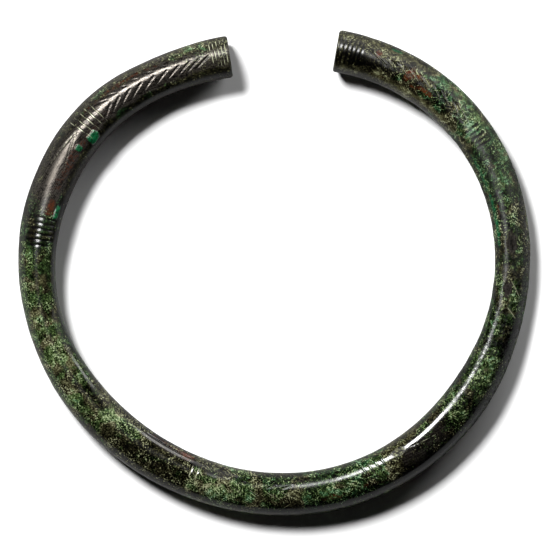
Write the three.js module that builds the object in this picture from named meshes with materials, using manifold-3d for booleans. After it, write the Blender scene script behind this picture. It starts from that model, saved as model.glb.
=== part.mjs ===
// Arm ring: one solid bronze bar, cast and bent into an open ring, engraved on its top and outer face.
// Millimetres, +Z up. The ring lies flat on z = 0 with the gap between its terminals towards +Y.
// Ring angles are degrees counter-clockwise from +X, from the left terminal round to the right one.
// Bar angles are degrees around the bar's section from its top, outwards positive.

import * as THREE from "three";
import { mergeVertices } from "three/addons/utils/BufferGeometryUtils.js";
import Module from "manifold-3d";

// Centre line of the bar: a circle drawn out into an oval, fuller on one side,
// with a shoulder on the left limb and the left terminal turned in a little.
const RING_RADIUS = 47.4;
const LEFT_END = 102.6;
const RIGHT_END = 434.9;
const OVAL = { swell: 1.52, towards: 5.6 };
const FULL_SIDE = { swell: 0.79, towards: 45.5 };
const SHOULDER = { swell: 0.78, at: 138, spread: 17 };
const TURNED_IN = { by: 0.54, spread: 11.4 };

// Bar: its full width, and the waists where it is slimmer.
const BAR_WIDTH = 8.76;
const WAISTS = [
  { loss: 0.49, at: 120, before: 14.5, after: 14.5 },
  { loss: 1.43, at: 190.5, before: 27.7, after: 19.6 },
  { loss: 1.69, at: 351.5, before: 17.2, after: 44 },
];
const WAIST_SHARE_OF_HEIGHT = 0.5;
const END_ROUNDING = 0.6;

// Facets of the bar: an even number of sides leaves one narrow flat along the underside.
const SIDES = 20;
const STATIONS = 80;
const FACET = 360 / SIDES;

// Engraved lines are V-shaped. Their cutters stand proud of the surface by the clearance, and
// the run-out, a little over 1, lets each line rise out of the metal at both ends.
const BAND_LINE = { width: 0.62, depth: 0.34 };
const STROKE = { width: 0.5, depth: 0.26 };
const FAINT = { width: 0.4, depth: 0.2 };
const CLEARANCE = 0.3;
const RUN_OUT = 1.15;

// Bands of lines across the bar. first and pitch are ring angles, lean is how far the outer end
// of a line runs ahead of its inner end, and outer and inner are the bar angles it reaches.
const BANDS = [
  { lines: 5, first: 103.5, pitch: 0.95, lean: 1.1, outer: 72, inner: -34 },
  { lines: 5, first: 139.1, pitch: 1.45, lean: 1.2, outer: 66, inner: -42 },
  { lines: 6, first: 167.9, pitch: 1.31, lean: 0, outer: 40, inner: -50 },
  { lines: 2, first: 246.9, pitch: 1.7, lean: 0, outer: 8, inner: -34 },
  { lines: 4, first: 293.6, pitch: 1.8, lean: 1.6, outer: 24, inner: -30 },
  { lines: 5, first: 390.9, pitch: 1.28, lean: 0.3, outer: 48, inner: -18 },
  { lines: 6, first: 428.7, pitch: 1.1, lean: -0.8, outer: 44, inner: -36 },
];

// Herringbone fields: pairs of strokes either side of a spine along the top. The spacing of the
// pairs wanders by sway, a stroke covers trail of ring angle (negative where it trails towards the
// left terminal), and outer and inner give the bar angles at its start and its end.
const FIELDS = [
  { cut: STROKE, pairs: 10, first: 107.5, pitch: 3, sway: -0.9, trail: 4, outer: [21, 40], inner: [13, -10] },
  { cut: FAINT, pairs: 5, first: 254, pitch: 4.2, sway: 0, trail: 3.4, outer: [-8, 10], inner: [-14, -26] },
  { cut: STROKE, pairs: 8, first: 404.4, pitch: 3.1, sway: 0, trail: -4, outer: [28, 46], inner: [20, -6] },
];

// Fans of long strokes that open away from a band: trail, outer and inner grow from the first
// value at the shortest pair of strokes to the second at the longest.
const FANS = [
  { pairs: 3, apex: 145.6, step: 1, spine: 14, trail: [5, 17], outer: [28, 54], inner: [-8, -30] },
  { pairs: 2, apex: 396.9, step: 1, spine: 6, trail: [3.5, 5.5], outer: [16, 27], inner: [-5, -14] },
];

const degrees = THREE.MathUtils.degToRad;
const lerp = THREE.MathUtils.lerp;
const wasm = await Module();
wasm.setup();

// A smooth hump, 1 high at zero, with its own spread on each side.
function hump(offset, before, after = before) {
  return Math.exp(-((offset / (offset < 0 ? before : after)) ** 2));
}

function centreRadius(angle) {
  const oval = OVAL.swell * Math.cos(2 * degrees(angle - OVAL.towards));
  const fullSide = FULL_SIDE.swell * Math.cos(3 * degrees(angle - FULL_SIDE.towards));
  const shoulder = SHOULDER.swell * hump(angle - SHOULDER.at, SHOULDER.spread);
  const turnedIn = TURNED_IN.by * Math.exp((LEFT_END - angle) / TURNED_IN.spread);
  return RING_RADIUS + oval + fullSide + shoulder - turnedIn;
}

function centrePoint(angle) {
  const radius = centreRadius(angle);
  return new THREE.Vector3(radius * Math.cos(degrees(angle)), radius * Math.sin(degrees(angle)), 0);
}

// Half width and half height of the bar's section.
function halfSection(angle) {
  const loss = WAISTS.reduce((sum, w) => sum + w.loss * hump(angle - w.at, w.before, w.after), 0);
  return {
    width: (BAR_WIDTH - loss) / 2,
    height: (BAR_WIDTH - loss * WAIST_SHARE_OF_HEIGHT) / 2,
  };
}

// The point at a bar angle on the section at a ring angle, at a share of the way from the
// section's middle to its rim, raised above the rim by lift.
function barPoint(angle, around, share = 1, lift = 0) {
  const step = 0.05;
  const along = centrePoint(angle + step).sub(centrePoint(angle - step)).normalize();
  const outward = new THREE.Vector3(along.y, -along.x, 0);
  const half = halfSection(angle);
  const middleHeight = half.height * Math.cos(degrees(FACET / 2));
  const reach = (half.width * share + lift) * Math.sin(degrees(around));
  const point = centrePoint(angle).addScaledVector(outward, reach);
  point.z = middleHeight + (half.height * share + lift) * Math.cos(degrees(around));
  return point;
}

// Moves every vertex of a geometry to where place puts it, and keeps its positions alone.
function reshape(geometry, place) {
  geometry.deleteAttribute("normal");
  geometry.deleteAttribute("uv");
  const position = geometry.attributes.position;
  const vertex = new THREE.Vector3();
  for (let i = 0; i < position.count; i += 1) {
    vertex.fromBufferAttribute(position, i);
    const { x, y, z } = place(vertex);
    position.setXYZ(i, x, y, z);
  }
  return geometry;
}

function solidOf(geometry) {
  const merged = mergeVertices(geometry, 1e-4);
  return new wasm.Manifold(
    new wasm.Mesh({
      numProp: 3,
      vertProperties: merged.attributes.position.array,
      triVerts: new Uint32Array(merged.index.array),
    }),
  );
}

// The plain bar: a straight rod with rounded ends, turned about its axis and then bent to the ring.
function bentBar() {
  const rounding = END_ROUNDING / (BAR_WIDTH / 2);
  const roundingAngle = END_ROUNDING / degrees(RING_RADIUS);
  const profile = [new THREE.Vector2(0, LEFT_END)];
  const corner = [0, 45, 90].map((turn) => [1 - Math.sin(degrees(turn)), 1 - Math.cos(degrees(turn))]);
  for (const [inset, setback] of corner) {
    profile.push(new THREE.Vector2(1 - rounding * inset, LEFT_END + roundingAngle * setback));
  }
  const span = RIGHT_END - LEFT_END - 2 * roundingAngle;
  for (let i = 1; i < STATIONS; i += 1) {
    profile.push(new THREE.Vector2(1, LEFT_END + roundingAngle + (span * i) / STATIONS));
  }
  for (const [inset, setback] of corner.toReversed()) {
    profile.push(new THREE.Vector2(1 - rounding * inset, RIGHT_END - roundingAngle * setback));
  }
  profile.push(new THREE.Vector2(0, RIGHT_END));
  const rod = new THREE.LatheGeometry(profile, SIDES, degrees(FACET / 2));
  return reshape(rod, ({ x, y, z }) => {
    const around = THREE.MathUtils.radToDeg(Math.atan2(x, z));
    return barPoint(y, around, Math.hypot(x, z));
  });
}

// The cutter of one engraved line between two points of the surface, each a ring angle and a
// bar angle: a three-sided prism, point down, that runs out of the surface at both ends.
function lineCutter(from, to, cut) {
  const steps = Math.max(3, Math.round(Math.abs(to.around - from.around) / FACET));
  const alongScale = degrees(RING_RADIUS);
  const aroundScale = degrees(BAR_WIDTH / 2);
  const runAlong = (to.angle - from.angle) * alongScale;
  const runAround = (to.around - from.around) * aroundScale;
  const side = new THREE.Vector2(-runAround, runAlong).normalize();
  const halfMouth = (cut.width / 2) * (1 + CLEARANCE / cut.depth);
  const prism = new THREE.CylinderGeometry(1, 1, 1, 3, steps, false, Math.PI);
  const prismHalfWidth = Math.sin(degrees(60));
  return reshape(prism, ({ x, y, z }) => {
    const share = y + 0.5;
    const depth = cut.depth * (1 - RUN_OUT * (2 * y) ** 4);
    const sideways = (halfMouth * x) / prismHalfWidth;
    const angle = lerp(from.angle, to.angle, share) + (side.x * sideways) / alongScale;
    const around = lerp(from.around, to.around, share) + (side.y * sideways) / aroundScale;
    return barPoint(angle, around, 1, z > 0 ? CLEARANCE : -depth);
  });
}

function bandCutters({ lines, first, pitch, lean, outer, inner }) {
  return Array.from({ length: lines }, (_, i) => {
    const angle = first + i * pitch;
    const innerEnd = { angle: angle - lean / 2, around: inner };
    const outerEnd = { angle: angle + lean / 2, around: outer };
    return lineCutter(innerEnd, outerEnd, BAND_LINE);
  });
}

function fieldCutters({ pairs, first, pitch, sway, trail, outer, inner, cut }) {
  const cutters = [];
  for (let i = 0; i < pairs; i += 1) {
    const angle = first + i * pitch + sway * Math.sin((2 * Math.PI * i) / pairs);
    for (const [start, end] of [outer, inner]) {
      cutters.push(lineCutter({ angle, around: start }, { angle: angle + trail, around: end }, cut));
    }
  }
  return cutters;
}

function fanCutters({ pairs, apex, step, spine, trail, outer, inner }) {
  const cutters = [];
  for (let i = 0; i < pairs; i += 1) {
    const share = i / (pairs - 1);
    const start = { angle: apex + i * step, around: spine };
    for (const spread of [outer, inner]) {
      const end = { angle: apex + lerp(...trail, share), around: lerp(...spread, share) };
      cutters.push(lineCutter(start, end, FAINT));
    }
  }
  return cutters;
}

function engravedRing() {
  const cutters = [
    ...BANDS.flatMap(bandCutters),
    ...FIELDS.flatMap(fieldCutters),
    ...FANS.flatMap(fanCutters),
  ];
  const solid = cutters.reduce((ring, cutter) => ring.subtract(solidOf(cutter)), solidOf(bentBar()));
  const { vertProperties, triVerts } = solid.getMesh();
  const geometry = new THREE.BufferGeometry();
  geometry.setAttribute("position", new THREE.BufferAttribute(vertProperties, 3));
  geometry.setIndex(new THREE.BufferAttribute(triVerts, 1));
  geometry.computeBoundingBox();
  const middle = geometry.boundingBox.getCenter(new THREE.Vector3());
  geometry.translate(-middle.x, -middle.y, 0);
  geometry.computeVertexNormals();
  return geometry;
}

const bronze = new THREE.MeshStandardMaterial({ color: 0x2e3524, roughness: 0.45, metalness: 0.6 });
const ring = new THREE.Mesh(engravedRing(), bronze);
ring.name = "arm_ring";

const armRing = new THREE.Group();
armRing.add(ring);

export default armRing;
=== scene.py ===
import math
from collections import namedtuple

import bpy
import numpy as np
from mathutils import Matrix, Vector, noise


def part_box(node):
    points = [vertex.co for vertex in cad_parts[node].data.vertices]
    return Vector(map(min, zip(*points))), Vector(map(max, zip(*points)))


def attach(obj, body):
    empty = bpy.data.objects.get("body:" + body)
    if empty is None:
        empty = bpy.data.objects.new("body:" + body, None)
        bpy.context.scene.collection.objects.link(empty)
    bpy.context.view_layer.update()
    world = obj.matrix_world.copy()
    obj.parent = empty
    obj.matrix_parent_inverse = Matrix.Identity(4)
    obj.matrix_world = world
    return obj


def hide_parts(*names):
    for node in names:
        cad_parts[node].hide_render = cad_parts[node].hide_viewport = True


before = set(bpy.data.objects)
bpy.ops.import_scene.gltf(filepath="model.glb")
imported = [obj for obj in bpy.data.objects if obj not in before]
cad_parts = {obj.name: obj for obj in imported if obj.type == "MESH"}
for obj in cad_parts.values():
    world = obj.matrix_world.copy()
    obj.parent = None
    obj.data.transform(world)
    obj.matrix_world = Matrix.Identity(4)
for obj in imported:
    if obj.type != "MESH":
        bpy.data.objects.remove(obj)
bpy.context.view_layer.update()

# An ancient bronze arm ring: an engraved bar bent into an open ring, with the patina of its burial.
# Lengths are millimetres until the mesh is written. Ring angles are degrees counter-clockwise
# from +X, from the left terminal round to the right one. Bar angles are degrees around the bar's
# section from its top, outwards positive.

MM = 0.001
NODE = "arm_ring"

# Centre line, section and terminals, as in the solid.
RING_RADIUS = 47.4
LEFT_END = 102.6
RIGHT_END = 434.9
OVAL_SWELL, OVAL_TOWARDS = 1.52, 5.6
FULL_SIDE_SWELL, FULL_SIDE_TOWARDS = 0.79, 45.5
SHOULDER_SWELL, SHOULDER_AT, SHOULDER_SPREAD = 0.78, 138, 17
TURNED_IN_BY, TURNED_IN_SPREAD = 0.54, 11.4
BAR_WIDTH = 8.76
Waist = namedtuple("Waist", "loss at before after")
WAISTS = [Waist(0.49, 120, 14.5, 14.5), Waist(1.43, 190.5, 27.7, 19.6), Waist(1.69, 351.5, 17.2, 44)]
WAIST_SHARE_OF_HEIGHT = 0.5
END_ROUNDING = 0.6
FLAT_HALF_ANGLE = 9

# The section's lean in degrees, its top towards the middle of the ring. The solid has none: it is set so
# that the highlight runs where the picture shows it.
SECTION_LEAN = {
    104: 3.8, 124: 4.6, 132: 7.2, 146: 7.4, 156: 7.6, 163: 10.5, 170: 13, 178: 9, 192: 4.6, 300: 4.6, 322: 6,
    338: 9, 348: 13, 354: 12.5, 366: 9, 376: 6.5, 386: 4, 391: 0, 396: 0, 402: 4.6, 420: 4.6, 429: -4,
}

# Millimetres to a degree, along the ring and around the bar.
ALONG_SCALE = math.radians(RING_RADIUS)
AROUND_SCALE = math.radians(BAR_WIDTH / 2)

# Engraved ornament: bands of lines across the bar, herringbone fields, and fans of long strokes. It
# follows the solid's, with shallower cuts and with some strokes moved, lengthened or left out. lean is
# how far a line's outer end runs ahead of its inner end, trail is the ring angle a stroke covers, drift
# is how much further out each pair lies than the last, faint is the depth of the outer strokes beside
# the inner ones, which makes them narrower too, and fill is how much pale deposit lies in the cut.
Band = namedtuple("Band", "lines first pitch lean outer inner width depth fill")
BANDS = [
    Band(5, 103.5, 0.95, 0.7, 72, -34, 0.32, 0.14, 1),
    Band(5, 139.1, 1.45, 0.8, 66, -42, 0.36, 0.18, 0.8),
    Band(6, 167.9, 1.31, 0, 40, -50, 0.62, 0.2, 0),
    Band(2, 246.9, 1.7, 0, 8, -34, 0.5, 0.16, 1),
    Band(4, 293.6, 1.8, 1.6, 24, -44, 0.4, 0.16, 0.5),
    Band(5, 391.1, 1.14, 0.3, 34, -17, 0.62, 0.24, 0.1),
    Band(6, 428.7, 1.1, -0.8, 44, -36, 0.56, 0.22, 0),
]
Field = namedtuple("Field", "pairs first pitch sway drift trail outer inner width depth faint fill")
FIELDS = [
    Field(10, 107.5, 3, -0.9, -1.1, 5, (25, 48), (16, -18), 0.54, 0.24, 0.38, 0.2),
    Field(5, 254, 4.2, 0, 0, 3.4, (-8, 10), (-14, -26), 0.36, 0.1, 1, 0.65),
    Field(8, 404.4, 3.1, 0, 0, -4.6, (28, 46), (22, -4), 0.36, 0.14, 0.5, 0.6),
]
Fan = namedtuple("Fan", "pairs apex step spine trail outer inner width depth fill")
FANS = [
    Fan(2, 145.6, 1.4, 15, (6, 12), (24, 34), (-6, -21), 0.3, 0.09, 0.6),
    Fan(2, 396.9, 1, 6, (3.5, 5.5), (16, 27), (-5, -14), 0.36, 0.12, 0.6),
]
RUN_OUT, RUN_OUT_POWER = 1.15, 4
DEEPEST = 0.24
CUT_MARGIN = 1

# A soft facet along the inner shoulder of the lower right stretch, by its share of the full depth.
FACET_DEPTH, FACET_AROUND, FACET_SPREAD = 0.035, -25, 15
FACET = {274: 0, 284: 1, 318: 1, 326: 0.3, 350: 0.3, 362: 0}

# Scratches through the patina, each from one ring angle and bar angle to another, with its pale deposit.
SCRATCHES = [
    ((300.8, -14), (304.6, -6), 0.5),
    ((306.2, -20), (315, 4), 0.6),
    ((311, 14), (317, 36), 0.4),
    ((287.4, -8), (290, 3), 0.7),
    ((347.8, 42), (350.7, -5), 1),
    ((352.6, 42), (357.5, -6), 0.85),
]
SCRATCH_WIDTH, SCRATCH_DEPTH = 0.4, 0.06

# A groove along the inner shoulder, up to the two pale lines, darkened by painted shade like the other cuts.
GROOVE_FROM, GROOVE_TO, GROOVE_AROUND = 230.5, 247, -53
GROOVE_WIDTH, GROOVE_DEPTH = 0.62, 0.2

# How far the crust dulls the metal's shine along the ring, and so breaks its highlight.
DULLED = {316: 0, 323: 1, 388: 1, 392: 0}

# The mesh: rows along the ring and columns around the bar, closer where the engraving is.
ROWS = 1040
COLUMNS = 92
ENGRAVED_CLOSER = 3.0
TOP_HALF_ANGLE, TOP_CLOSER = 62, 3.0
UNDER_HALF_ANGLE, UNDER_CLOSER = 55, 0.6
SIDE_CLOSER = 1.4
ROW_EASE, COLUMN_EASE = 2, 16
PLACES_TRIED = 20000
END_RINGS = (0.0, 0.35, 0.65)
ROUNDING_STEPS = 5

# Coats on the surface. Each has its strength along the ring, between stops at ring angles, and
# patches: ring angle, bar angle, half length along and half breadth around in degrees, strength.
# bare is metal without patina, pale and dark shift the tone, though a few dark patches are painted shade and
# one pale patch is painted light from the floor, warm turns the patina to earth and teal to blue-green,
# flecked and woven bring out flecks and strokes, crust is lumpy and rough has less shine.
Patch = namedtuple("Patch", "angle around length breadth strength")
Coat = namedtuple("Coat", "along patches")
BARE = Coat(
    {102: 0.5, 116: 0.7, 119: 1, 160: 1, 165: 0.5, 170: 0.3, 176: 0.05, 412: 0.1, 420: 0.3, 428: 0.25},
    [
        Patch(132, 51, 34, 25, -0.55),
        Patch(132, -46, 36, 20, -0.9),
        Patch(236, 20, 13, 30, 0.2),
        Patch(309.6, 6, 7, 52, 0.6),
        Patch(303.4, -25, 1.7, 12, -0.9),
        Patch(240, -44, 11, 14, 0.6),
        Patch(354.8, -9, 2.1, 14, 1.1),
        Patch(366, 1, 2.8, 17, 1.0),
        Patch(430, 44, 8, 18, -0.7),
        Patch(424, 60, 16, 28, -0.8),
        Patch(424, -60, 16, 28, -0.6),
    ],
)
PALE_AND_FLOOR_LIGHT = Coat(
    {102: 0.1, 146: 0.1, 175: 0.2, 190: 0.36, 220: 0.32, 246: 0.1, 248: 0.62, 256: 0.55, 262: 0.35,
     270: 0, 360: 0, 368: 0.3, 374: 0.3, 376: 0.2, 396: 0.22, 420: 0.16, 428: 0.1},
    [
        Patch(226, -30, 6, 22, 0.7),
        Patch(241, -22, 1.6, 10, 0.5),
        Patch(254, -2, 9, 30, 0.2),
        Patch(256, -42, 12, 20, -0.8),
        Patch(338, -14, 14, 6, 0.4),
        Patch(303.4, -25, 1.6, 9, 0.4),
        Patch(406, 50, 24, 20, 0.35),
        Patch(430, 44, 8, 16, 0.3),
        # Painted light: the right inner rim lightened as if lit by light bounced from the floor.
        Patch(416, -52, 24, 16, 0.9),
        Patch(126, 66, 28, 16, 0.1),
        Patch(354.8, -9, 3, 20, 0.4),
        Patch(404, 38, 5, 20, 0.5),
        Patch(393.8, 9, 3.2, 24, 0.5),
        Patch(205, -18, 5, 14, 0.8),
        Patch(224, -6, 4, 14, 0.7),
        Patch(154, 12, 7, 12, 0.6),
        Patch(178, 26, 2.5, 14, 0.5),
    ],
)
# Darker patina; a few of its patches are painted shade instead.
DARK_AND_SHADE = Coat(
    {102: 0.1, 160: 0.1, 166: 0.5, 174: 0.45, 180: 0.05, 222: 0.1, 226: 0.6, 246: 0.6, 248: 0.05, 262: 0.05,
     275: 0.12, 284: 0, 300: 0, 320: 0.2, 345: 0.15, 370: 0.15, 376: 0.08, 395: 0.1, 420: 0.2},
    [
        Patch(309.2, 10, 7.6, 48, 0.73),
        Patch(303.4, -25, 1.7, 12, -0.5),
        Patch(417, -14, 13, 18, 0.5),
        Patch(132, -44, 36, 20, 0.5),
        Patch(140, 38, 20, 10, 0.4),
        Patch(154, -24, 9, 16, 0.35),
        # Painted shade: these two darken the left inner rim where it mirrors the ring's cast shadow.
        Patch(168, -58, 12, 18, 0.6),
        Patch(190, -64, 20, 14, 0.5),
        # Painted shade on the right outer flank, which faces away from the key light.
        Patch(374, 50, 10, 18, 0.4),
        Patch(236, 14, 13, 34, 0.2),
        # Painted shade: these two darken the lower outer flank, which faces away from the key light.
        Patch(280, 48, 36, 24, 0.6),
        Patch(330, 48, 30, 24, 0.4),
        Patch(341, 28, 3.4, 14, 0.4),
        Patch(366, 1, 2.8, 17, 0.6),
        Patch(354.8, -9, 2.1, 14, 0.6),
        Patch(429, -8, 8, 20, 0.38),
        Patch(254, -40, 8, 18, 0.6),
        Patch(284, -40, 8, 10, 0.35),
        Patch(374, -26, 5, 24, 0.5),
        Patch(384, -22, 7, 14, 0.4),
        Patch(216, -20, 5, 14, 0.7),
        Patch(262, -30, 6, 14, 0.3),
    ],
)
WARM = Coat(
    {102: 0.6, 140: 0.6, 150: 0.8, 160: 0.8, 165: 0.2, 178: 0.1, 200: 0.18, 222: 0.35, 225: 0.7, 246: 0.8,
     248: 0.3, 268: 0.25, 275: 0.5, 279: 0.1, 285: 0, 297: 0, 301: 0.6, 304: 0.7, 320: 0.1, 345: 0, 362: 0.4,
     374: 0.4, 376: 0.1, 396: 0.1, 410: 0.4, 420: 0.9, 435: 1},
    [
        Patch(178, 27, 3, 16, -0.6),
        Patch(192, -4, 3, 10, 0.5),
        Patch(227, -22, 5, 16, -0.8),
        Patch(282, 28, 3, 10, -0.6),
        Patch(341, 28, 3.4, 14, 0.6),
        Patch(365, 2, 2.4, 12, 0.8),
        Patch(354.6, -8, 1.5, 11, 0.8),
        Patch(413, -46, 22, 16, 0.6),
    ],
)
TEAL = Coat(
    {102: 0.3, 165: 0.3, 180: 0.15, 222: 0.15, 228: 0, 246: 0, 249: 0.25, 274: 0.25, 279: 0.32,
     300: 0.32, 303: 0, 318: 0, 322: 0.14, 350: 0.18, 360: 0.15, 372: 0.2, 376: 0.34, 394: 0.32,
     400: 0.42, 412: 0.42, 420: 0.2, 435: 0.1},
    [
        Patch(416, -34, 4, 9, 0.6),
        Patch(431, 36, 5, 12, 1.0),
    ],
)
RUST = Coat(
    {102: 0},
    [
        Patch(165.3, -17, 2.2, 14, 0.75),
        Patch(152, -16, 13, 15, 0.5),
        Patch(130, 36, 12, 8, 0.45),
        Patch(284, 22, 3, 9, 0.4),
        Patch(291, 16, 2, 9, 0.35),
        Patch(139, -8, 2, 12, 0.3),
        Patch(193.8, -14, 1, 7, 0.4),
        Patch(410, -13, 2.2, 8, 0.8),
        Patch(415.6, 6, 1.2, 22, 0.8),
        Patch(413.2, 12, 1, 9, 0.6),
        Patch(413.5, -22, 1.4, 5, 0.5),
        Patch(424.4, 22, 0.9, 12, 0.9),
        Patch(420, -38, 8, 8, 0.15),
        Patch(244.5, -50, 2.4, 14, 0.6),
        Patch(239.5, -60, 8, 8, 0.5),
        Patch(374.6, -29, 2.2, 3, 0.7),
    ],
)
EMERALD = Coat(
    {102: 0},
    [
        Patch(372, -46, 7, 11, 0.8),
        Patch(385, -46, 8, 10, 0.7),
        Patch(420.7, 56, 1.6, 9, 0.8),
        Patch(293, -45, 7, 9, 0.35),
        Patch(312.5, -44, 6, 9, 0.2),
    ],
)
FLECKED = Coat(
    {102: 0.7, 118: 0.6, 130: 0.45, 160: 0.45, 165: 0.7, 176: 0.7, 180: 0.56, 222: 0.66, 226: 0.95, 246: 0.95,
     249: 0.5, 275: 0.5, 300: 0.6, 303: 0.7, 317: 0.7, 320: 0.6, 350: 0.6, 360: 0.75, 366: 1, 374: 1,
     377: 0.48, 394: 0.5, 435: 0.5},
    [
        Patch(303.4, -25, 1.7, 12, 0.6),
        Patch(181, -22, 6, 30, -0.3),
        Patch(354.8, -9, 2.2, 15, -0.5),
        Patch(366, 1, 2.8, 17, -0.5),
        Patch(341, 28, 3, 12, -0.5),
        Patch(408, 46, 22, 20, -0.35),
        Patch(414, -46, 24, 16, -0.35),
    ],
)
# Green nodules and corrosion pits: here the strength is the height or the depth.
NODULES = [
    Patch(144.4, -31, 1.55, 15, 0.34),
    Patch(148.8, -17, 0.8, 10, 0.2),
    Patch(165.6, -40, 1.7, 8, 0.3),
]
PITS = [
    Patch(354.8, -9, 2.2, 14, 0.12),
    Patch(366, 1, 2.8, 17, 0.12),
]
CRUST = Coat(
    {102: 0.1, 160: 0.1, 172: 0.4, 220: 0.5, 246: 0.5, 248: 0.55, 268: 0.45, 280: 0.2, 302: 0.2,
     304: 0.08, 318: 0.08, 327: 0.7, 352: 0.7, 358: 0.7, 365: 0.9, 374: 0.9, 377: 0.6, 398: 0.75,
     422: 0.7, 428: 0.2},
    [
        Patch(212, -42, 10, 14, -0.2),
        Patch(239, -42, 9, 14, -0.5),
        Patch(393.5, 8, 3.5, 24, -0.4),
        Patch(354.6, -11, 2.3, 14, -0.6),
        Patch(365.6, -3, 3, 18, -0.8),
        Patch(303.4, -25, 1.7, 12, 0.6),
    ],
)
ROUGH = Coat(
    {102: 0.45, 112: 0.4, 120: 0.3, 146: 0.34, 151: 0.48, 161: 0.48, 166: 0.38, 174: 0.34, 178: 0.18,
     246: 0.18, 250: 0.13, 266: 0.14, 277: 0.28, 283: 0.2, 302: 0.2, 305: 0.17, 320: 0.2, 327: 0.22,
     352: 0.21, 360: 0.34, 376: 0.36, 381: 0.55, 390: 0.55, 396: 0.4, 402: 0.22, 418: 0.2, 423: 0.3,
     428: 0.3},
    [
        Patch(303.4, -25, 1.7, 12, 0.65),
        Patch(171.5, 3, 4, 20, -0.1),
        Patch(197, -38, 6, 16, 0.4),
        Patch(221, -38, 9, 16, 0.45),
        Patch(253, -38, 6, 16, 0.4),
        Patch(408, 44, 30, 26, 0.45),
        Patch(393.5, 4, 3.5, 24, 0.2),
    ],
)
WOVEN = Coat(
    {102: 0.1, 170: 0.1, 200: 0.3, 246: 0.1, 248: 1, 272: 0.8, 285: 0.6, 292: 0.9, 301: 0.7, 303: 0.1,
     317: 0.1, 319: 0.9, 326: 0.4, 380: 0.3, 392: 0.6, 398: 0.9, 422: 0.9, 427: 0.6},
    [
        Patch(130, 48, 34, 22, 0.5),
        Patch(408, 52, 24, 18, -0.6),
        Patch(414, -46, 24, 16, -0.6),
    ],
)

# The coats that the material reads, each as a field of its name.
COATS = {
    "bare": BARE,
    "pale_and_floor_light": PALE_AND_FLOOR_LIGHT,
    "dark_and_shade": DARK_AND_SHADE,
    "rust": RUST,
    "emerald": EMERALD,
    "rough": ROUGH,
    "woven": WOVEN,
    "warm": WARM,
    "teal": TEAL,
    "flecked": FLECKED,
}

# How far a patch, a nodule and a pit reach past their stated edge, and how the ragged noise breaks it.
PATCH_REACH, PATCH_RAGGED = 1.4, 0.35
NODULE_REACH, NODULE_EDGE, NODULE_RAGGED = 1.1, 0.35, 0.25
NODULE_SQUARE, NODULE_UNEVEN, NODULE_GREEN_ABOVE = 4, 0.3, 0.12
PIT_REACH, PIT_EDGE, PIT_RAGGED = 1.1, 0.35, 0.2

# Noise in the relief: its grain in millimetres, its octaves, and an offset that keeps each one its own.
Relief = namedtuple("Relief", "size octaves offset")
RAGGED = Relief(1.6, 4, 0)
LUMPS = Relief(2.4, 4, 50)
GRAINS = Relief(0.9, 3, 90)
SWELL = Relief(9.0, 2, 20)
LUMP_HEIGHT, GRAIN_HEIGHT, SWELL_HEIGHT = 0.05, 0.03, 0.05
NOISE_FALL_OFF, NOISE_STEP = 1.0, 2.0

# The flanks, beyond this bar angle on either side, are plainer: crustier, darker and duller.
FLANK_FROM, FLANK_EASE = 46, 26
FLANK_CRUST, FLANK_DARK, FLANK_ROUGH = 0.3, 0.15, 0.2


def hump(offset, before, after=None):
    """A smooth hump, 1 high at zero, with its own spread on each side."""
    after = before if after is None else after
    return np.exp(-((offset / np.where(offset < 0, before, after)) ** 2))


def smooth(value):
    """Eases from 0 to 1 as the value goes from 0 to 1."""
    value = np.clip(value, 0, 1)
    return value * value * (3 - 2 * value)


def centre_line(angle):
    turn = np.radians(angle)
    oval = OVAL_SWELL * np.cos(2 * (turn - math.radians(OVAL_TOWARDS)))
    full_side = FULL_SIDE_SWELL * np.cos(3 * (turn - math.radians(FULL_SIDE_TOWARDS)))
    shoulder = SHOULDER_SWELL * hump(angle - SHOULDER_AT, SHOULDER_SPREAD)
    turned_in = TURNED_IN_BY * np.exp((LEFT_END - angle) / TURNED_IN_SPREAD)
    radius = RING_RADIUS + oval + full_side + shoulder - turned_in
    return np.stack([radius * np.cos(turn), radius * np.sin(turn)], axis=-1)


def half_section(angle):
    """Half width and half height of the bar."""
    loss = sum(waist.loss * hump(angle - waist.at, waist.before, waist.after) for waist in WAISTS)
    return (BAR_WIDTH - loss) / 2, (BAR_WIDTH - WAIST_SHARE_OF_HEIGHT * loss) / 2


def bar_surface(angle, around, share, lift):
    """Points of the bar at ring angles (a column) and bar angles (a row), resting on z = 0.

    The section is sheared sideways by its lean, so its height stays as it is."""
    step = 0.05
    along = centre_line(angle + step) - centre_line(angle - step)
    along /= np.linalg.norm(along, axis=-1, keepdims=True)
    half_width, half_height = half_section(angle)
    lean = between(angle, SECTION_LEAN)
    turn = np.radians(around + lean)
    middle = half_height * math.cos(math.radians(FLAT_HALF_ANGLE))
    height = np.maximum(middle + (half_height * share + lift) * np.cos(turn), 0)
    reach = (half_width * share + lift) * np.sin(turn)
    reach -= (height - middle) * np.tan(np.radians(lean))
    centre = centre_line(angle)
    x = centre[..., 0] + reach * along[..., 1]
    y = centre[..., 1] - reach * along[..., 0]
    return np.stack([x, y, height], axis=-1)


# Engraving

Line = namedtuple("Line", "start end width depth fill")


def band_lines(band):
    for i in range(band.lines):
        angle = band.first + i * band.pitch
        inner_end = (angle - band.lean / 2, band.inner)
        outer_end = (angle + band.lean / 2, band.outer)
        yield Line(inner_end, outer_end, band.width, band.depth, band.fill)


def field_lines(field):
    for i in range(field.pairs):
        angle = field.first + i * field.pitch + field.sway * math.sin(2 * math.pi * i / field.pairs)
        aside = i * field.drift
        for (start, end), share in ((field.outer, field.faint), (field.inner, 1)):
            first, last = (angle, start + aside), (angle + field.trail, end + aside)
            yield Line(first, last, math.sqrt(share) * field.width, share * field.depth, field.fill)


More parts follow.
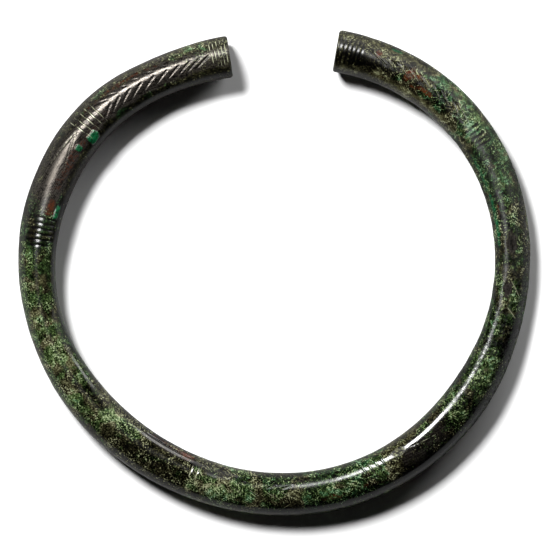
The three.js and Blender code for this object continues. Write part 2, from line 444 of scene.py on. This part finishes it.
def fan_lines(fan):
    for i in range(fan.pairs):
        share = i / (fan.pairs - 1)
        start = (fan.apex + i * fan.step, fan.spine)
        trail = fan.trail[0] + (fan.trail[1] - fan.trail[0]) * share
        for nearest, furthest in (fan.outer, fan.inner):
            end = (fan.apex + trail, nearest + (furthest - nearest) * share)
            yield Line(start, end, fan.width, fan.depth, fan.fill)


def engraved_lines():
    lines = [line for band in BANDS for line in band_lines(band)]
    lines += [line for field in FIELDS for line in field_lines(field)]
    lines += [line for fan in FANS for line in fan_lines(fan)]
    return lines


def scratch_lines():
    return [Line(start, end, SCRATCH_WIDTH, SCRATCH_DEPTH, fill) for start, end, fill in SCRATCHES]


def groove_line():
    start, end = (GROOVE_FROM, GROOVE_AROUND), (GROOVE_TO, GROOVE_AROUND)
    return Line(start, end, GROOVE_WIDTH, GROOVE_DEPTH, 0)


def carve(angle, around, lines):
    """Depth of the cuts, and the pale deposit in them, at every row and column."""
    depth = np.zeros((angle.size, around.size))
    fill = np.zeros_like(depth)
    for line in lines:
        first, last = sorted((line.start[0], line.end[0]))
        rows = np.flatnonzero((angle[:, 0] > first - CUT_MARGIN) & (angle[:, 0] < last + CUT_MARGIN))
        along = (angle[rows] - line.start[0]) * ALONG_SCALE
        across = (around - line.start[1]) * AROUND_SCALE
        run_along = (line.end[0] - line.start[0]) * ALONG_SCALE
        run_across = (line.end[1] - line.start[1]) * AROUND_SCALE
        length = math.hypot(run_along, run_across)
        share = (along * run_along + across * run_across) / length**2
        aside = (along * run_across - across * run_along) / length
        mouth = smooth(1 - np.abs(2 * aside / line.width))
        shape = mouth * np.clip(1 - RUN_OUT * (2 * share - 1) ** RUN_OUT_POWER, 0, 1)
        depth[rows] = np.maximum(depth[rows], line.depth * shape)
        fill[rows] = np.maximum(fill[rows], line.fill * shape)
    return depth, fill


# Rows and columns

def spaced(low, high, count, closeness):
    """Values from low to high, spaced in keeping with how close they should be at each place."""
    places = np.linspace(low, high, PLACES_TRIED)
    counted = np.cumsum(closeness(places))
    counted = (counted - counted[0]) / (counted[-1] - counted[0])
    return np.interp(np.linspace(0, 1, count), counted, places)


def row_closeness(angle):
    closer = np.zeros_like(angle)
    for line in engraved_lines() + scratch_lines():
        first, last = sorted((line.start[0], line.end[0]))
        closer = np.maximum(closer, smooth(ROW_EASE - np.maximum(first - angle, angle - last)))
    return 1 + (ENGRAVED_CLOSER - 1) * closer


def column_closeness(around):
    top = smooth((TOP_HALF_ANGLE + COLUMN_EASE / 2 - np.abs(around)) / COLUMN_EASE)
    under = smooth((np.abs(around) - 180 + UNDER_HALF_ANGLE) / COLUMN_EASE)
    return SIDE_CLOSER + (TOP_CLOSER - SIDE_CLOSER) * top + (UNDER_CLOSER - SIDE_CLOSER) * under


def grid():
    """Ring angle and share of the section's radius at each row, and the bar angle of each column.

    A flat face with a rounded edge closes each end of the bar."""
    rounding_angle = END_ROUNDING / ALONG_SCALE
    rounding_share = END_ROUNDING / (BAR_WIDTH / 2)
    turns = np.linspace(0, math.pi / 2, ROUNDING_STEPS, endpoint=False)
    end_share = np.concatenate([END_RINGS, 1 - rounding_share * (1 - np.sin(turns))])
    setback = np.concatenate([np.zeros(len(END_RINGS)), rounding_angle * (1 - np.cos(turns))])
    body_rows = ROWS - 2 * len(end_share)
    body = spaced(LEFT_END + rounding_angle, RIGHT_END - rounding_angle, body_rows, row_closeness)
    angle = np.concatenate([LEFT_END + setback, body, RIGHT_END - setback[::-1]])
    share = np.concatenate([end_share, np.ones(body_rows), end_share[::-1]])
    around = spaced(-180, 180, COLUMNS + 1, column_closeness)[:-1]
    return angle[:, None], share[:, None], around[None, :]


# Relief and coats

def cloud(points, relief):
    """Noise between about -1 and 1 at every point."""
    places = ((points + relief.offset) / relief.size).reshape(-1, 3).tolist()
    values = [noise.fractal(Vector(place), NOISE_FALL_OFF, NOISE_STEP, relief.octaves) for place in places]
    return np.array(values).reshape(points.shape[:-1])


def between(angle, stops):
    """A value along the ring, from its stops at ring angles."""
    return np.interp(angle, list(stops), list(stops.values()))


def apart(angle, around, patch):
    """Distance from the middle of a patch, 1 at its edge."""
    return np.hypot((angle - patch.angle) / patch.length, (around - patch.around) / patch.breadth)


def coated(angle, around, coat, ragged):
    """How strongly a coat lies at each place; the ragged noise breaks the edges of its patches."""
    weight = between(angle, coat.along) + 0 * ragged
    for patch in coat.patches:
        weight += patch.strength * smooth(PATCH_REACH - apart(angle, around, patch) + PATCH_RAGGED * ragged)
    return np.clip(weight, 0, 1)


def nodule_lift(angle, around, ragged):
    lift = np.zeros_like(ragged)
    for patch in NODULES:
        along = np.abs(angle - patch.angle) / patch.length
        across = np.abs(around - patch.around) / patch.breadth
        blocky = (along**NODULE_SQUARE + across**NODULE_SQUARE) ** (1 / NODULE_SQUARE)
        inside = smooth((NODULE_REACH - (blocky - NODULE_RAGGED * ragged)) / NODULE_EDGE)
        lift = np.maximum(lift, patch.strength * inside * (1 + NODULE_UNEVEN * ragged))
    return lift


def pit_depth(angle, around, ragged):
    depth = np.zeros_like(ragged)
    for patch in PITS:
        inside = smooth((PIT_REACH - apart(angle, around, patch) + PIT_RAGGED * ragged) / PIT_EDGE)
        depth = np.maximum(depth, patch.strength * inside)
    return depth


def surface_fields():
    """Points of the finished surface, and the named fields that its material reads."""
    angle, share, around = grid()
    plain = bar_surface(angle, around, share, 0)
    body = (share == 1).astype(float)
    ragged, lumps, grains, swell = (cloud(plain, relief) for relief in (RAGGED, LUMPS, GRAINS, SWELL))

    engraved, fill = carve(angle, around, engraved_lines() + [groove_line()])
    scratched, scratch_fill = carve(angle, around, scratch_lines())
    nodules = nodule_lift(angle, around, ragged)
    pits = pit_depth(angle, around, ragged)
    flank = smooth((np.abs(around) - FLANK_FROM) / FLANK_EASE)
    crust = np.minimum(coated(angle, around, CRUST, ragged) + FLANK_CRUST * flank, 1)
    bumps = crust * (LUMP_HEIGHT * lumps + GRAIN_HEIGHT * grains)
    facet = FACET_DEPTH * between(angle, FACET) * hump(around - FACET_AROUND, FACET_SPREAD)
    lift = body * (nodules + bumps + SWELL_HEIGHT * swell - facet - pits - engraved - scratched)

    level = 0 * ragged
    fields = {
        "along": angle * ALONG_SCALE * MM + level,
        "around": around * AROUND_SCALE * MM + level,
        "fill": np.maximum(fill, scratch_fill),
        # The engraving's depth, which darkens the patina as painted shade in the grooves.
        "cut_shade": engraved / DEEPEST,
        "crust": crust,
        "dulled": crust * between(angle, DULLED),
        "raised": crust * (lumps + grains),
    }
    for name, coat in COATS.items():
        fields[name] = coated(angle, around, coat, ragged)
    fields["dark_and_shade"] += FLANK_DARK * flank
    fields["rough"] += FLANK_ROUGH * flank
    fields["emerald"] = np.maximum(fields["emerald"], smooth(nodules / NODULE_GREEN_ABOVE))
    points = bar_surface(angle, around, share, lift)
    points += box_middle(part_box(NODE)) / MM - box_middle((plain.min((0, 1)), plain.max((0, 1))))
    return points, fields


def box_middle(box):
    """The middle of a box in plan, on the ground."""
    low, high = (np.array(corner) for corner in box)
    return (low + high) / 2 * (1, 1, 0)


# Mesh

def ring_mesh(name, points, fields):
    """A closed mesh through the grid of points; the first and last rows are single points."""
    rows, columns = points.shape[:2]
    vertices = np.concatenate([points[:1, 0], points[1:-1].reshape(-1, 3), points[-1:, 0]])
    last = len(vertices) - 1
    ring = 1 + np.arange((rows - 2) * columns).reshape(rows - 2, columns)
    following = np.roll(ring, -1, axis=1)
    quads = np.stack([ring[:-1], ring[1:], following[1:], following[:-1]], axis=-1).reshape(-1, 4)
    faces = [tuple(quad) for quad in quads.tolist()]
    faces += [(0, int(a), int(b)) for a, b in zip(ring[0], following[0])]
    faces += [(last, int(b), int(a)) for a, b in zip(ring[-1], following[-1])]

    mesh = bpy.data.meshes.new(name)
    mesh.from_pydata((vertices * MM).tolist(), [], faces)
    mesh.shade_smooth()
    for field, values in fields.items():
        flat = np.concatenate([values[0, :1], values[1:-1].ravel(), values[-1, :1]])
        attribute = mesh.attributes.new(field, "FLOAT", "POINT")
        attribute.data.foreach_set("value", flat.astype(np.float32))
    mesh.validate()
    return mesh


def arm_ring():
    points, fields = surface_fields()
    piece = bpy.data.objects.new("arm_ring_bronze", ring_mesh("arm_ring_bronze", points, fields))
    bpy.context.scene.collection.objects.link(piece)
    piece.data.materials.append(bronze_material())
    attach(piece, "root")
    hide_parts(NODE)


# Materials

class Shader:
    """Short calls for the nodes of one material; a value is a number, a colour or a socket."""

    def __init__(self, name):
        self.material = bpy.data.materials.new(name)
        self.material.use_nodes = True
        self.tree = self.material.node_tree
        self.surface = self.tree.nodes["Principled BSDF"]

    def put(self, socket, value):
        if isinstance(value, bpy.types.NodeSocket):
            self.tree.links.new(value, socket)
        else:
            socket.default_value = value

    def node(self, kind, values, **settings):
        made = self.tree.nodes.new(kind)
        for setting, value in settings.items():
            setattr(made, setting, value)
        for key, value in values.items():
            self.put(made.inputs[key], value)
        return made

    def field(self, name):
        return self.node("ShaderNodeAttribute", {}, attribute_name=name).outputs["Fac"]

    def cloud(self, cloud, where):
        values = {"Vector": where, "Scale": 1 / (cloud.size * MM), "Detail": cloud.detail}
        values |= {"Roughness": cloud.roughness, "Distortion": cloud.warp}
        return self.node("ShaderNodeTexNoise", values).outputs["Fac"]

    def hairs(self, hairs):
        """Noise drawn out into fine lines at a slant to the bar."""
        place = self.node("ShaderNodeCombineXYZ", {"X": self.field("along"), "Y": self.field("around")})
        values = {"Vector": place.outputs[0], "Rotation": (0, 0, math.radians(hairs.slant))}
        values["Scale"] = (hairs.length * MM, hairs.width * MM, 1)
        turned = self.node("ShaderNodeMapping", values, vector_type="TEXTURE").outputs[0]
        noise_values = {"Vector": turned, "Scale": 1.0, "Detail": 1.0}
        return self.node("ShaderNodeTexNoise", noise_values).outputs["Fac"]

    def math(self, operation, first, second=0.0):
        return self.node("ShaderNodeMath", {0: first, 1: second}, operation=operation).outputs[0]

    def total(self, *terms):
        """The sum of sockets, each weighted: (socket, weight) pairs and plain numbers."""
        result = None
        for term in terms:
            part = self.math("MULTIPLY", *term) if isinstance(term, tuple) else term
            result = part if result is None else self.math("ADD", result, part)
        return result

    def eased(self, value, low, high):
        """0 up to low, 1 from high on, eased between."""
        values = {"Value": value, "From Min": low, "From Max": high}
        return self.node("ShaderNodeMapRange", values, interpolation_type="SMOOTHSTEP").outputs["Result"]

    def mixed(self, share, first, second):
        values = {"Factor": share, 6: first, 7: second}
        return self.node("ShaderNodeMix", values, data_type="RGBA").outputs[2]

    def ramp(self, value, stops):
        """Colours along a value, from (place, colour) stops."""
        made = self.node("ShaderNodeValToRGB", {"Fac": value})
        elements = made.color_ramp.elements
        while len(elements) < len(stops):
            elements.new(0.5)
        for element, (place, colour) in zip(elements, stops):
            element.position = place
            element.color = colour
        return made.outputs["Color"]


def colour(red, green, blue):
    """A linear colour from the 0 to 255 values of a screen."""
    values = [(channel / 255) ** 2.2 for channel in (red, green, blue)]
    return (*values, 1.0)


SHADOW = colour(4, 4, 3)
EARTH = [
    (0.05, SHADOW),
    (0.30, colour(24, 23, 16)),
    (0.50, colour(47, 46, 32)),
    (0.70, colour(79, 78, 55)),
    (0.98, colour(143, 146, 115)),
]
VERDIGRIS = [
    (0.05, SHADOW),
    (0.30, colour(19, 26, 15)),
    (0.50, colour(41, 53, 30)),
    (0.70, colour(74, 91, 53)),
    (0.98, colour(147, 159, 120)),
]
BLUE_GREEN = [
    (0.05, SHADOW),
    (0.30, colour(18, 31, 20)),
    (0.50, colour(37, 62, 40)),
    (0.70, colour(64, 97, 64)),
    (0.98, colour(132, 154, 126)),
]


BRONZE_DULL, BRONZE_BRIGHT, BRONZE_BLACK = colour(22, 20, 18), colour(86, 81, 75), colour(6, 6, 6)
RUST_LIGHT, RUST_DEEP = colour(78, 42, 25), colour(44, 27, 19)
GREEN_DEEP, GREEN_LIGHT = colour(2, 30, 17), colour(24, 100, 61)
DEPOSIT = colour(146, 148, 122)

# Noise in the patina, by size in millimetres, and hair lines, by slant in degrees and size.
Cloud = namedtuple("Cloud", "size detail roughness warp")
CLOUDS = {
    "broad": Cloud(5.0, 2, 0.55, 0.0),
    "patchy": Cloud(1.9, 2, 0.55, 1.4),
    "mottle": Cloud(0.8, 2, 0.55, 1.2),
    "fleck": Cloud(0.33, 2, 0.65, 0.4),
    "stain": Cloud(3.4, 3, 0.55, 0.5),
    "cluster": Cloud(2.8, 2, 0.55, 0.5),
}
Hairs = namedtuple("Hairs", "slant length width")
WEAVE = [Hairs(34, 2.6, 0.22), Hairs(-38, 2.4, 0.22), Hairs(78, 1.8, 0.22)]
BRUSHING = Hairs(10, 3.2, 0.15)

# What makes the patina lighter or darker. A noise lies around 0.5, and the weave around its own middle.
NOISE_MIDDLE, WEAVE_MIDDLE = 0.5, 0.34
TONE_MIDDLE = 0.43
TONE_OF_CLOUDS = {"broad": 0.6, "patchy": 0.75, "mottle": 0.5}
# Deeper cuts darken the patina: painted shade in the grooves.
TONE_OF_FIELDS = {"raised": 0.15, "pale_and_floor_light": 0.25, "dark_and_shade": -0.4, "cut_shade": -0.6}
TONE_OF_STROKES = 0.88
FLECK_CONTRAST, CLUSTER_CONTRAST = 2.2, 3.4

# Where a tint or a coat begins and is full: its field, the noise that breaks it, and the two limits.
Tint = namedtuple("Tint", "cloud field weight low high")
WARM_TINT = Tint("stain", "warm", 0.3, 0.53, 0.65)
TEAL_TINT = Tint("patchy", "teal", 0.5, 0.62, 0.85)
Edge = namedtuple("Edge", "field mottle fleck offset low high")
BARE_EDGE = Edge("bare", -0.9, -0.7, 0.8, 0.25, 0.75)
RUST_EDGE = Edge("rust", -1.2, -0.6, 0.9, 0.2, 1.0)
EMERALD_EDGE = Edge("emerald", -1.0, -0.8, 0.9, 0.3, 1.0)
FILL_EDGE = Edge("fill", -0.8, 0.0, 0.4, 0.3, 0.8)

# The values of a noise between which what it drives goes from none to full.
CLUSTER_LIMITS = (0.42, 0.62)
POLISH_LIMITS = (0.42, 0.62)
MATTE_LIMITS = (0.46, 0.6)
RUST_LIMITS = (0.3, 0.7)
GREEN_LIMITS = (0.34, 0.7)
STROKE_EDGE, STROKE_EDGE_SHARE = (0.46, 0.6), 0.35
STROKE_MIDDLE, STROKE_MIDDLE_SHARE = (0.6, 0.74), 0.65

# Shine and the finest grain. Brushing is fine hair lines among the flecks.
BRUSHED_FLECKS, BRUSHED_HAIRS = 0.5, 0.5
PALE_POLISH = 0.15
METALLIC, ANISOTROPY, SPECULAR = 0.8, 0.8, 0.4
MATTE_ROUGHNESS, MOTTLE_ROUGHNESS = 0.45, 0.2
BUMP_DISTANCE, BUMP_STRENGTH, CRUST_BUMP = 0.1, 0.06, 0.3
MOTTLE_BUMP, FLECK_BUMP, BRUSHED_BUMP = 0.5, 0.5, 0.3


def flecks(shader, clouds):
    """Light and dark flecks, stronger in clusters."""
    cluster = shader.eased(clouds["cluster"], *CLUSTER_LIMITS)
    contrast = shader.total(FLECK_CONTRAST, (cluster, CLUSTER_CONTRAST))
    contrast = shader.math("MULTIPLY", contrast, shader.field("flecked"))
    return shader.math("MULTIPLY", shader.math("SUBTRACT", clouds["fleck"], NOISE_MIDDLE), contrast)


def strokes(shader):
    """Crossing hair lines, each with a soft edge and a lighter middle."""
    weave = shader.hairs(WEAVE[0])
    for hairs in WEAVE[1:]:
        weave = shader.math("MAXIMUM", weave, shader.hairs(hairs))
    edge = shader.eased(weave, *STROKE_EDGE)
    middle = shader.eased(weave, *STROKE_MIDDLE)
    weave = shader.total((edge, STROKE_EDGE_SHARE), (middle, STROKE_MIDDLE_SHARE))
    return shader.math("MULTIPLY", shader.math("SUBTRACT", weave, WEAVE_MIDDLE), shader.field("woven"))


def patina_tone(shader, clouds):
    terms = [TONE_MIDDLE - NOISE_MIDDLE * sum(TONE_OF_CLOUDS.values())]
    terms += [(clouds[name], weight) for name, weight in TONE_OF_CLOUDS.items()]
    terms += [flecks(shader, clouds), (strokes(shader), TONE_OF_STROKES)]
    terms += [(shader.field(name), weight) for name, weight in TONE_OF_FIELDS.items()]
    return shader.total(*terms)


def tinted(shader, clouds, tint):
    value = shader.total(clouds[tint.cloud], (shader.field(tint.field), tint.weight))
    return shader.eased(value, tint.low, tint.high)


def patina_colour(shader, clouds):
    tone = patina_tone(shader, clouds)
    teal = tinted(shader, clouds, TEAL_TINT)
    patina = shader.mixed(teal, shader.ramp(tone, VERDIGRIS), shader.ramp(tone, BLUE_GREEN))
    return shader.mixed(tinted(shader, clouds, WARM_TINT), patina, shader.ramp(tone, EARTH))


def bronze_colour(shader, brushed):
    polish = shader.total(brushed, (shader.field("pale_and_floor_light"), PALE_POLISH))
    bronze = shader.mixed(shader.eased(polish, *POLISH_LIMITS), BRONZE_DULL, BRONZE_BRIGHT)
    # Dark patina turns the bronze black, and so does the painted shade of a few dark patches.
    return shader.mixed(shader.field("dark_and_shade"), bronze, BRONZE_BLACK)


def ragged_edge(shader, clouds, edge):
    """Where a coat lies, with its edge broken by the mottle and the flecks."""
    value = shader.total(
        shader.field(edge.field),
        (clouds["mottle"], edge.mottle),
        (clouds["fleck"], edge.fleck),
        edge.offset,
    )
    return shader.eased(value, edge.low, edge.high)


def surface_roughness(shader, clouds):
    matte = shader.math("MULTIPLY", shader.eased(clouds["mottle"], *MATTE_LIMITS), shader.field("dulled"))
    mottle = shader.math("SUBTRACT", clouds["mottle"], NOISE_MIDDLE)
    return shader.total(shader.field("rough"), (mottle, MOTTLE_ROUGHNESS), (matte, MATTE_ROUGHNESS))


def surface_bump(shader, clouds, brushed):
    """The finest grain, below what the mesh can carry."""
    height = shader.total(
        (clouds["mottle"], MOTTLE_BUMP),
        (clouds["fleck"], FLECK_BUMP),
        (brushed, BRUSHED_BUMP),
    )
    strength = shader.total(BUMP_STRENGTH, (shader.field("crust"), CRUST_BUMP))
    values = {"Height": height, "Strength": strength, "Distance": BUMP_DISTANCE * MM}
    return shader.node("ShaderNodeBump", values).outputs["Normal"]


def bronze_material():
    """Patina over bare bronze, with rust, green corrosion and pale deposit on top."""
    shader = Shader("patinated_bronze")
    where = shader.node("ShaderNodeTexCoord", {}).outputs["Object"]
    clouds = {name: shader.cloud(cloud, where) for name, cloud in CLOUDS.items()}
    brushed = shader.total((clouds["fleck"], BRUSHED_FLECKS), (shader.hairs(BRUSHING), BRUSHED_HAIRS))
    edges = (BARE_EDGE, RUST_EDGE, EMERALD_EDGE, FILL_EDGE)
    bare, rust, emerald, fill = (ragged_edge(shader, clouds, edge) for edge in edges)

    base = shader.mixed(bare, patina_colour(shader, clouds), bronze_colour(shader, brushed))
    rusty = shader.mixed(shader.eased(clouds["mottle"], *RUST_LIMITS), RUST_LIGHT, RUST_DEEP)
    green = shader.mixed(shader.eased(clouds["fleck"], *GREEN_LIMITS), GREEN_DEEP, GREEN_LIGHT)
    for share, coat in ((rust, rusty), (emerald, green), (fill, DEPOSIT)):
        base = shader.mixed(share, base, coat)
    covered = shader.field("dark_and_shade")
    for share in (rust, emerald, fill):
        covered = shader.math("MAXIMUM", covered, share)
    metallic = shader.math("MULTIPLY", bare, shader.total(METALLIC, (covered, -METALLIC)))
    tangent = shader.node("ShaderNodeTangent", {}, direction_type="RADIAL", axis="Z").outputs["Tangent"]

    shader.put(shader.surface.inputs["Base Color"], base)
    shader.put(shader.surface.inputs["Metallic"], metallic)
    shader.put(shader.surface.inputs["Roughness"], surface_roughness(shader, clouds))
    shader.put(shader.surface.inputs["Tangent"], tangent)
    shader.put(shader.surface.inputs["Anisotropic"], ANISOTROPY)
    shader.put(shader.surface.inputs["Specular IOR Level"], SPECULAR)
    shader.put(shader.surface.inputs["Normal"], surface_bump(shader, clouds, brushed))
    return shader.material


# Stage: floor, lights and camera

# The floor is darker where the bronze mirrors it, or its flanks would look too light.
FLOOR_HALF = 3.0
FLOOR_ALBEDO = 0.85
FLOOR_MIRRORED = 0.3
Lamp = namedtuple("Lamp", "distance azimuth elevation size power")
KEY = Lamp(1.60, 127, 51.3, (0.46, 0.36), 50)
LOW = Lamp(0.30, 52, 17.5, (0.18, 0.11), 0.52)
AMBIENT = 0.006

CAMERA_HEIGHT = 2.50
FRAME_WIDTH = 0.11307
FRAME_MIDDLE = (0.00017, -0.00040)
SENSOR = 36.0
OUTLINE_HEIGHT = 0.0043


def floor():
    corners = [(x * FLOOR_HALF, y * FLOOR_HALF, 0) for x, y in ((-1, -1), (1, -1), (1, 1), (-1, 1))]
    mesh = bpy.data.meshes.new("floor")
    mesh.from_pydata(corners, [], [(0, 1, 2, 3)])
    shader = Shader("white_floor")
    mirrored = shader.node("ShaderNodeLightPath", {}).outputs["Is Glossy Ray"]
    seen = (FLOOR_ALBEDO, FLOOR_ALBEDO, FLOOR_ALBEDO, 1)
    dimmed = (FLOOR_MIRRORED, FLOOR_MIRRORED, FLOOR_MIRRORED, 1)
    shader.put(shader.surface.inputs["Base Color"], shader.mixed(mirrored, seen, dimmed))
    shader.put(shader.surface.inputs["Roughness"], 1.0)
    shader.put(shader.surface.inputs["Specular IOR Level"], 0.0)
    mesh.materials.append(shader.material)
    piece = bpy.data.objects.new("floor", mesh)
    bpy.context.scene.collection.objects.link(piece)


def area_light(name, lamp):
    """A rectangular light that faces the middle of the ring."""
    azimuth = math.radians(lamp.azimuth)
    elevation = math.radians(lamp.elevation)
    level = math.cos(elevation)
    towards = Vector((level * math.cos(azimuth), level * math.sin(azimuth), math.sin(elevation)))
    light = bpy.data.lights.new(name, "AREA")
    light.shape = "RECTANGLE"
    light.size, light.size_y = lamp.size
    light.energy = lamp.power
    made = bpy.data.objects.new(name, light)
    made.location = towards * lamp.distance
    made.rotation_euler = (-towards).to_track_quat("-Z", "Y").to_euler()
    bpy.context.scene.collection.objects.link(made)


def lights():
    area_light("key_light", KEY)
    area_light("low_light", LOW)
    world = bpy.data.worlds.new("studio")
    world.use_nodes = True
    background = world.node_tree.nodes["Background"]
    background.inputs["Color"].default_value = (1, 1, 1, 1)
    background.inputs["Strength"].default_value = AMBIENT
    bpy.context.scene.world = world


def camera():
    """Looks straight down, with the ring's outline at the size it has in the picture."""
    lens = bpy.data.cameras.new("camera")
    lens.sensor_width = SENSOR
    lens.lens = SENSOR * (CAMERA_HEIGHT - OUTLINE_HEIGHT) / FRAME_WIDTH
    made = bpy.data.objects.new("camera", lens)
    made.location = (*FRAME_MIDDLE, CAMERA_HEIGHT)
    bpy.context.scene.collection.objects.link(made)
    bpy.context.scene.camera = made


camera()
floor()
lights()
arm_ring()
bpy.context.scene.view_settings.view_transform = "Standard"
